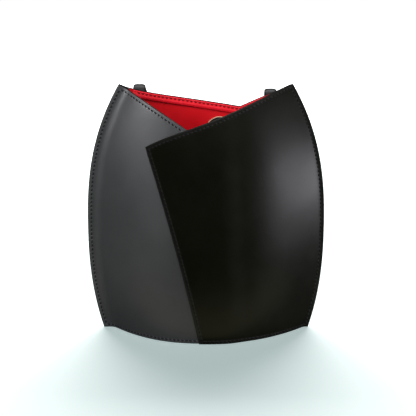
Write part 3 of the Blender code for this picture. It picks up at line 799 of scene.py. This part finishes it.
# ---- snap ----
def make_patch(side, at):
    """Leather disc with a raw cut edge, stitched round, that follows the lining."""
    size = PATCH_RADIUS[side]
    seat = -LEATHER - LINING - 2 * GAP
    edge_steps = (0.0044, 0.0035, 0.0030, 0.0025, 0.0015, 0.0008, 0.0004, 0.0001, 0)
    radii = (0.003, 0.006, 0.009) + tuple(size - step for step in edge_steps)
    rings, segments, raw_rings = len(radii), 72, 4
    angles = np.arange(segments) * 2 * np.pi / segments
    stitch_radius = size - PATCH_INSET
    middle = np.array([SNAP_X]), np.array([SNAP_Z])
    tops, bottoms = [at(*middle, seat - PATCH_THICKNESS)[0]], [at(*middle, seat)[0]]
    for radius in radii:
        x, z = SNAP_X + radius * np.cos(angles), SNAP_Z + radius * np.sin(angles)
        lost = PATCH_GROOVE * hump(radius, stitch_radius, 0.0005) - rounded(size - radius, PATCH_ROUND)
        tops.append(at(x, z, np.full_like(x, seat - PATCH_THICKNESS + lost))[0])
        bottoms.append(at(x, z, np.full_like(x, seat))[0])
    half = 1 + rings * segments
    outer = 1 + (rings - 1) * segments
    faces, indices = [], []
    for k in range(segments):
        n = (k + 1) % segments
        for first in (0, half):
            faces.append((first, first + 1 + k, first + 1 + n))
            indices.append(0)
            for ring in range(rings - 1):
                a = first + 1 + ring * segments
                b = a + segments
                faces.append((a + k, b + k, b + n, a + n))
                indices.append(int(ring >= rings - raw_rings))
        faces.append((outer + k, half + outer + k, half + outer + n, outer + n))
        indices.append(1)
    made = build(f"{side}_patch_leather", np.concatenate(tops + bottoms), faces, [PATCH, RAW_EDGE], indices)
    fit(made, "bag", "patch_leather", f"{side}_snap_patch")
    turn = np.linspace(0, 2 * np.pi, 200)
    x, z = SNAP_X + stitch_radius * np.cos(turn), SNAP_Z + stitch_radius * np.sin(turn)
    points, normals = at(x, z, np.full_like(x, seat - PATCH_THICKNESS + PATCH_STITCH_RAISED))
    stitch_line(f"{side}_patch_stitches", points, -normals, "bag", "patch_leather", BLACK_THREAD,
                **PATCH_THREAD, closed=True)


# ---- strap ----
def one(at, x, z):
    """A single surface point."""
    return Vector(at(np.array([x]), np.array([z]))[0][0])


def anchor_stations(x, fold_z, count=24):
    stations = []
    for i in range(count + 1):
        z = fold_z - ANCHOR_LENGTH * (1 - i / count)
        slope = (one(BACK, x + 0.003, z).y - one(BACK, x - 0.003, z).y) / 0.006
        turn = 1 - float(smooth((z - fold_z + TWIST_HEIGHT) / TWIST_HEIGHT))
        lift = STRAP_WIDTH / 2 * abs(slope) * (1 - turn)
        steep = math.sqrt(1 + slope**2)
        y = one(BACK, x, z).y + GAP * steep + STRAP_THICKNESS / 2 + lift
        stations.append((Vector((x, y, z)), Vector((1, slope * turn, 0)), 1.0))
    return stations


def fold_centre(x, fold_z):
    return anchor_stations(x, fold_z, 8)[-1][0] + Vector((0, FOLD_RADIUS, 0))


def fold_stations(x, fold_z, count=16):
    centre = fold_centre(x, fold_z)
    turns = [math.pi * i / count for i in range(1, count + 1)]
    return [(centre + FOLD_RADIUS * Vector((0, -math.cos(a), math.sin(a))), Vector((1, 0, 0)), 1.0,
             FOLD_CROWN * math.sin(a)) for a in turns]


def right_leg(z, outside=0.0):
    centre = fold_centre(RIGHT_ANCHOR_X, RIGHT_FOLD_Z)
    lean = LEG_OFFSET + LEG_SLOPE * (RIGHT_FOLD_Z - z)
    return Vector((RIGHT_ANCHOR_X, centre.y + FOLD_RADIUS - LEG_TUCK + lean + outside, z))


def spline_points(route, count):
    """Catmull-Rom curve through points of (x, y, z, turn), evenly counted."""
    route = np.array([tuple(point) for point in route], float)
    spans = len(route) - 1
    made = []
    for i in range(count + 1):
        place_on = i / count * spans
        span = min(int(place_on), spans - 1)
        t = place_on - span
        a, b, c, d = route[max(span - 1, 0)], route[span], route[span + 1], route[min(span + 2, spans)]
        square, cube = 2 * a - 5 * b + 4 * c - d, 3 * b - a - 3 * c + d
        made.append(0.5 * (2 * b + (c - a) * t + square * t * t + cube * t**3))
    return made


def fold_end(x, fold_z):
    return fold_centre(x, fold_z) + Vector((0, FOLD_RADIUS, 0))


def tip_share(share):
    left = (1 - share) / TIP_LENGTH_SHARE
    return 1.0 if left > 1 else TIP_WIDTH_SHARE + (1 - TIP_WIDTH_SHARE) * math.sqrt(max(left, 0))


def strap_profile():
    """Closed section of the strap: rounded painted edges and a pressed crease line inside each."""
    half_w, half_t, r = STRAP_WIDTH / 2, STRAP_THICKNESS / 2, 0.0008
    crease = half_w - STRAP_INSET
    upper = [
        (0, half_t),
        (crease - 0.0016, half_t),
        (crease - 0.0004, half_t - 0.00002),
        (crease, half_t - 0.0002),
        (crease + 0.0004, half_t - 0.00002),
    ]
    for a in np.linspace(0, np.pi / 2, 6):
        upper.append((half_w - r + r * math.sin(a), half_t - r + r * math.cos(a)))
    lower = [(x, -y) for x, y in reversed(upper[1:])] + [(0, -half_t)]
    right = upper + lower
    left = [(-x, y) for x, y in reversed(right[1:-1])]
    return right + left


def sweep(name, stations, node):
    """Strap through stations of (centre, direction across, width share, height of the crown)."""
    profile = strap_profile()
    tangents = np.gradient(np.array([list(station[0]) for station in stations]), axis=0)
    verts, wear_and_sheen = [], []
    for (centre, across, share, *crown), tangent in zip(stations, tangents):
        across = across.normalized()
        drop = crown[0] if crown else 0.0
        out = Vector(tangent).normalized().cross(across).normalized()
        for u, v in profile:
            verts.append(centre + across * u * share + out * (v + drop * abs(2 * u / STRAP_WIDTH) ** 5))
            wear_and_sheen.append(max(0.0, 1 - (STRAP_WIDTH / 2 - abs(u)) / 0.002))
    edge = STRAP_WIDTH / 2 - STRAP_PAINTED
    beside = profile[1:] + profile[:1]
    painted = [int(min(abs(here[0]), abs(there[0])) >= edge) for here, there in zip(profile, beside)]
    sides, ends = tube(len(stations), len(profile))
    indices = painted * (len(stations) - 1) + [1, 1]
    made = build(name, verts, sides + ends, [STRAP, BLACK_EDGE], indices, wear_and_sheen, 50)
    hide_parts(node)
    return made


def punch(made, spots, direction):
    """Round holes through a strap, cut with exact Booleans and applied."""
    turned = direction.to_track_quat("Z", "Y").to_matrix().to_4x4()
    for index, spot in enumerate(spots):
        mesh = bpy.data.meshes.new("punch")
        work = bmesh.new()
        bmesh.ops.create_cone(work, cap_ends=True, segments=32, radius1=HOLE_RADIUS, radius2=HOLE_RADIUS,
                              depth=PUNCH_DEPTH)
        work.to_mesh(mesh)
        work.free()
        mesh.materials.append(BLACK_EDGE)
        tool = link("punch", mesh)
        tool.matrix_world = Matrix.Translation(spot) @ turned
        cut = made.modifiers.new(f"hole_{index}", "BOOLEAN")
        cut.operation, cut.solver, cut.object = "DIFFERENCE", "EXACT", tool
        bpy.context.view_layer.update()
        graph = bpy.context.evaluated_depsgraph_get()
        result = bpy.data.meshes.new_from_object(made.evaluated_get(graph), depsgraph=graph)
        made.modifiers.clear()
        made.data = result
        bpy.data.objects.remove(tool, do_unlink=True)


def keeper_section():
    """Half the keeper's outline from the middle of its inside to the middle of its outside, with a crease."""
    half, r, deep = KEEPER_HEIGHT / 2, KEEPER_ROUND, 0.00015
    return [
        (0.0, half - r),
        (r, half),
        (KEEPER_WALL - r, half),
        (KEEPER_WALL, half - r),
        (KEEPER_WALL, half - 0.0016),
        (KEEPER_WALL - deep, half - 0.0020),
        (KEEPER_WALL, half - 0.0024),
    ]


def make_keeper(name, z, body, node):
    """Closed leather loop round both straps, its upper and lower edges rounded and painted."""
    up = Vector((0, -LEG_SLOPE, 1)).normalized()
    across = Vector((1, 0, 0))
    out = up.cross(across)
    centre = right_leg(z, LAP / 2)
    reach_x = STRAP_WIDTH / 2 + KEEPER_CLEARANCE - KEEPER_ROUND
    reach_y = (STRAP_THICKNESS + LAP) / 2 + KEEPER_CLEARANCE - KEEPER_ROUND
    upper = keeper_section()
    section = [(0.0, 0.0), *upper, (KEEPER_WALL, 0.0), *[(grow, -height) for grow, height in reversed(upper)]]
    size = len(section)
    path = []
    for quarter, (sx, sy) in enumerate(((1, 1), (-1, 1), (-1, -1), (1, -1))):
        for a in np.linspace(quarter * np.pi / 2, (quarter + 1) * np.pi / 2, 7):
            path.append((sx * reach_x, sy * reach_y, math.cos(a), math.sin(a)))
    verts = []
    for x, y, dx, dy in path:
        for grow, height in section:
            reach = KEEPER_ROUND + grow
            verts.append(centre + across * (x + reach * dx) + out * (y + reach * dy) + up * height)
    painted = KEEPER_HEIGHT / 2 - 0.0007
    faces, indices = [], []
    for ring in range(len(path)):
        for k in range(size):
            beside = (k + 1) % size
            a, b = ring * size + k, ring * size + beside
            step = ((ring + 1) % len(path) - ring) * size
            faces.append((a, b, b + step, a + step))
            indices.append(int(min(abs(section[k][1]), abs(section[beside][1])) > painted))
    made = build(name, verts, faces, [STRAP, BLACK_EDGE], indices, sharp=50)
    fit(made, body, "strap_leather", node)


def strap_legs():
    """Stations of the free legs, each from its fold's end."""
    long_route = [
        (*fold_end(LEFT_ANCHOR_X, LEFT_FOLD_Z), 0),
        *LOOP_ROUTE,
        *[(*right_leg(z, LAP), 180) for z in LAP_LEVELS],
    ]
    short_route = [
        (*fold_end(RIGHT_ANCHOR_X, RIGHT_FOLD_Z), 0),
        (*(right_leg(FOLD_SPLIT_Z) - Vector((0, GAP, 0))), 0),
        *[(*right_leg(z), 0) for z in SHORT_LEVELS],
    ]
    legs = []
    for route, count, width in ((long_route, 304, tip_share), (short_route, 84, lambda share: 1.0)):
        stations = []
        for i, (x, y, z, turn) in enumerate(spline_points(route, count)):
            across = Vector((math.cos(math.radians(turn)), math.sin(math.radians(turn)), 0))
            stations.append((Vector((x, y, z)), across, width(i / count)))
        legs.append(stations)
    return legs


def make_straps():
    """Two sewn ends that bend over the rim, the long and the short half, the holes and the keepers."""
    long_leg, short_leg = strap_legs()
    ends = (
        ("left", LEFT_ANCHOR_X, LEFT_FOLD_Z, long_leg),
        ("right", RIGHT_ANCHOR_X, RIGHT_FOLD_Z, short_leg),
    )
    halves = []
    for name, x, fold_z, leg in ends:
        cut_at = next(i for i, station in enumerate(leg) if station[0].z < FOLD_SPLIT_Z)
        fold = anchor_stations(x, fold_z) + fold_stations(x, fold_z) + leg[1:cut_at + 1]
        made = sweep(f"strap_fold_{name}", fold, f"strap_end_{name}")
        centre = fold_centre(x, fold_z)
        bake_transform(made)
        halves.append(leg[cut_at:])
    long = sweep("strap_long_leather", halves[0], "strap_long")
    short = sweep("strap_short_leather", halves[1], "strap_short")
    out = Vector((0, 1, LEG_SLOPE)).normalized()
    punch(long, [right_leg(STUD_Z + (i - 1) * HOLE_PITCH, LAP) for i in range(HOLE_COUNT)], out)
    punch(short, [right_leg(STUD_Z)], out)
    for made in (long, short):
        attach(made, "strap")
    make_keeper("keeper_fixed_leather", FIXED_KEEPER_Z, "strap", "keeper_fixed")
    make_keeper("keeper_sliding_leather", SLIDING_KEEPER_Z, "keeper", "keeper_sliding")


def make_anchor_stitches():
    """Box of stitches that sews each strap end to the back."""
    for name, x, fold_z in (("left", LEFT_ANCHOR_X, LEFT_FOLD_Z), ("right", RIGHT_ANCHOR_X, RIGHT_FOLD_Z)):
        stations = anchor_stations(x, fold_z, 60)
        inside = [s for s in stations if fold_z - ANCHOR_LENGTH + 0.002 < s[0].z < fold_z - 0.012]
        half = STRAP_WIDTH / 2 - STRAP_INSET

        def point(station, u):
            across = station[1].normalized()
            out = Vector((0, 0, 1)).cross(across).normalized()
            return station[0] + across * u + out * (STRAP_THICKNESS / 2 - 0.0001), out

        box = [point(s, -half) for s in inside]
        box += [point(inside[-1], u) for u in np.linspace(-half, half, 12)[1:-1]]
        box += [point(s, half) for s in reversed(inside)]
        box += [point(inside[0], u) for u in np.linspace(half, -half, 12)[1:]]
        points = np.array([list(spot) for spot, _ in box])
        normals = np.array([list(out) for _, out in box])
        stitch_line(f"anchor_{name}_stitches", points, normals, "bag", "strap_leather", BLACK_THREAD,
                    **ANCHOR_THREAD, closed=True)


# ---- everything ----
def dress_hardware():
    finishes = {"snap_magnet": FERRITE, "base_board": BOARD}
    for node in ("front_snap_washer", "back_snap_washer", "snap_socket_case", "snap_stud_plate", "stud_head",
                 "stud_screw"):
        finishes[node] = NICKEL
    for node, finish in finishes.items():
        target = frame["nodes"][node]
        if not target.material_slots:
            target.data.materials.append(finish)
        for held in target.material_slots:
            held.material = finish


def make_bag():
    make_left_front()
    make_right_front()
    make_back()
    for side, at, rim in (("front", FRONT, front_rim), ("back", BACK, back_rim)):
        make_lining(side, at, rim)
        make_facing(side, at, rim)
        make_patch(side, at)
    make_base_panel()
    make_base_lining()
    make_straps()
    make_anchor_stitches()
    dress_hardware()


# ---- camera, floor and light ----
FLOOR_SIZE = 12.0
FLOOR_COLOUR, FLOOR_GLOW = (0.86, 0.90, 0.885), (0.39, 0.48, 0.475)
FADE_START, FADE_END = 0.5, 1.8  # the glow turns white between these
ROOM = 0.015
CAMERA_TARGET = Vector((0.0023, 0.0, 0.14353))
CAMERA_DISTANCE, CAMERA_ELEVATION, LENS = 1.3, 15.0, 98.65


def make_camera():
    data = bpy.data.cameras.new("camera")
    data.lens, data.sensor_width = LENS, 36.0
    data.clip_end = 50.0
    camera = link("camera", data)
    tilt = math.radians(CAMERA_ELEVATION)
    camera.location = CAMERA_TARGET + CAMERA_DISTANCE * Vector((0, -math.cos(tilt), math.sin(tilt)))
    camera.rotation_euler = (math.pi / 2 - tilt, 0, 0)
    bpy.context.scene.camera = camera


def make_floor():
    made = Nodes("pale_floor")
    away = made.add("ShaderNodeVectorMath", {"operation": "LENGTH"}, _0=made.place)["Value"]
    soft = {"interpolation_type": "SMOOTHSTEP"}
    far = made.add("ShaderNodeMapRange", soft, _0=away, _1=FADE_START, _2=FADE_END)["Result"]
    made.set(Base_Color=rgb(*FLOOR_COLOUR), Roughness=0.9, Specular_IOR_Level=0.0,
             Emission_Color=made.blend(far, rgb(*FLOOR_GLOW), rgb(1.0, 1.0, 1.0)), Emission_Strength=1.0)
    half = FLOOR_SIZE / 2
    corners = [(-half, -half, 0), (half, -half, 0), (half, half, 0), (-half, half, 0)]
    floor = build("floor", corners, [(0, 1, 2, 3)], [made.material], sharp=None)
    floor.visible_glossy = False
    return floor


def make_light(name, location, target, width, tall, power, lit, colour=(1, 1, 1)):
    """Soft box that lights only the objects of one collection."""
    data = bpy.data.lights.new(name, "AREA")
    data.shape = "RECTANGLE"
    data.size, data.size_y = width, tall
    data.energy = power
    data.color = colour
    lamp = link(name, data)
    lamp.location = location
    lamp.rotation_euler = (Vector(target) - Vector(location)).to_track_quat("-Z", "Y").to_euler()
    lamp.light_linking.receiver_collection = lit


def make_world():
    """White for the camera, a dim even room for everything else."""
    world = bpy.data.worlds.new("studio")
    world.use_nodes = True
    tree = world.node_tree
    tree.nodes.clear()
    output = tree.nodes.new("ShaderNodeOutputWorld")
    mix = tree.nodes.new("ShaderNodeMixShader")
    seen, room = tree.nodes.new("ShaderNodeBackground"), tree.nodes.new("ShaderNodeBackground")
    seen.inputs["Color"].default_value = rgb(1, 1, 1)
    room.inputs["Color"].default_value = rgb(0.9, 0.95, 1.0)
    room.inputs["Strength"].default_value = ROOM
    path = tree.nodes.new("ShaderNodeLightPath")
    tree.links.new(path.outputs["Is Camera Ray"], mix.inputs[0])
    tree.links.new(room.outputs[0], mix.inputs[1])
    tree.links.new(seen.outputs[0], mix.inputs[2])
    tree.links.new(mix.outputs[0], output.inputs[0])
    bpy.context.scene.world = world


def group(name, objects):
    made = bpy.data.collections.new(name)
    for each in objects:
        made.objects.link(each)
    return made


def make_studio():
    bag = group("lit_bag", [each for each in bpy.context.scene.objects if each.type == "MESH"])
    not_right = group("lit_left", [each for each in bag.objects if not each.name.startswith("front_right")])
    ground_only = group("lit_floor", [make_floor()])
    make_world()
    make_light("floor_box", (0, 3.0, 2.1), (0, 0, 0), 4.6, 3.6, 330, ground_only)
    make_light("top_front", (0.15, -1.2, 1.7), (0, 0, 0.16), 1.1, 1.1, 50, bag)
    make_light("left_high", (-1.0, -0.6, 0.70), (0, 0, 0.2), 0.4, 0.35, 12, not_right, (0.98, 0.99, 1.03))
    make_light("left_low", (-0.72, -0.95, 0.34), (0, 0, 0.18), 0.4, 0.35, 1.8, not_right, (0.98, 0.99, 1.03))
    make_light("right_low", (0.9, -0.2, 0.09), (0, 0, 0.16), 0.95, 0.11, 4.9, bag, (0.98, 0.97, 1.05))
    make_light("right_soft", (0.9, -0.4, 0.3), (0, 0, 0.17), 0.9, 0.6, 0.6, bag, (0.98, 0.97, 1.05))
    make_light("floor_bounce", (0, -0.12, 0.003), (0, -0.12, 1), 0.5, 0.10, 0.07, bag, (1.0, 0.97, 0.6))
    make_light("back_low", (0.7, 1.5, 0.35), (0, 0, 0.15), 1.0, 0.5, 14, bag)
    view = bpy.context.scene.view_settings
    view.view_transform = "Standard"
    view.look = "None"


make_camera()
make_bag()
make_studio()
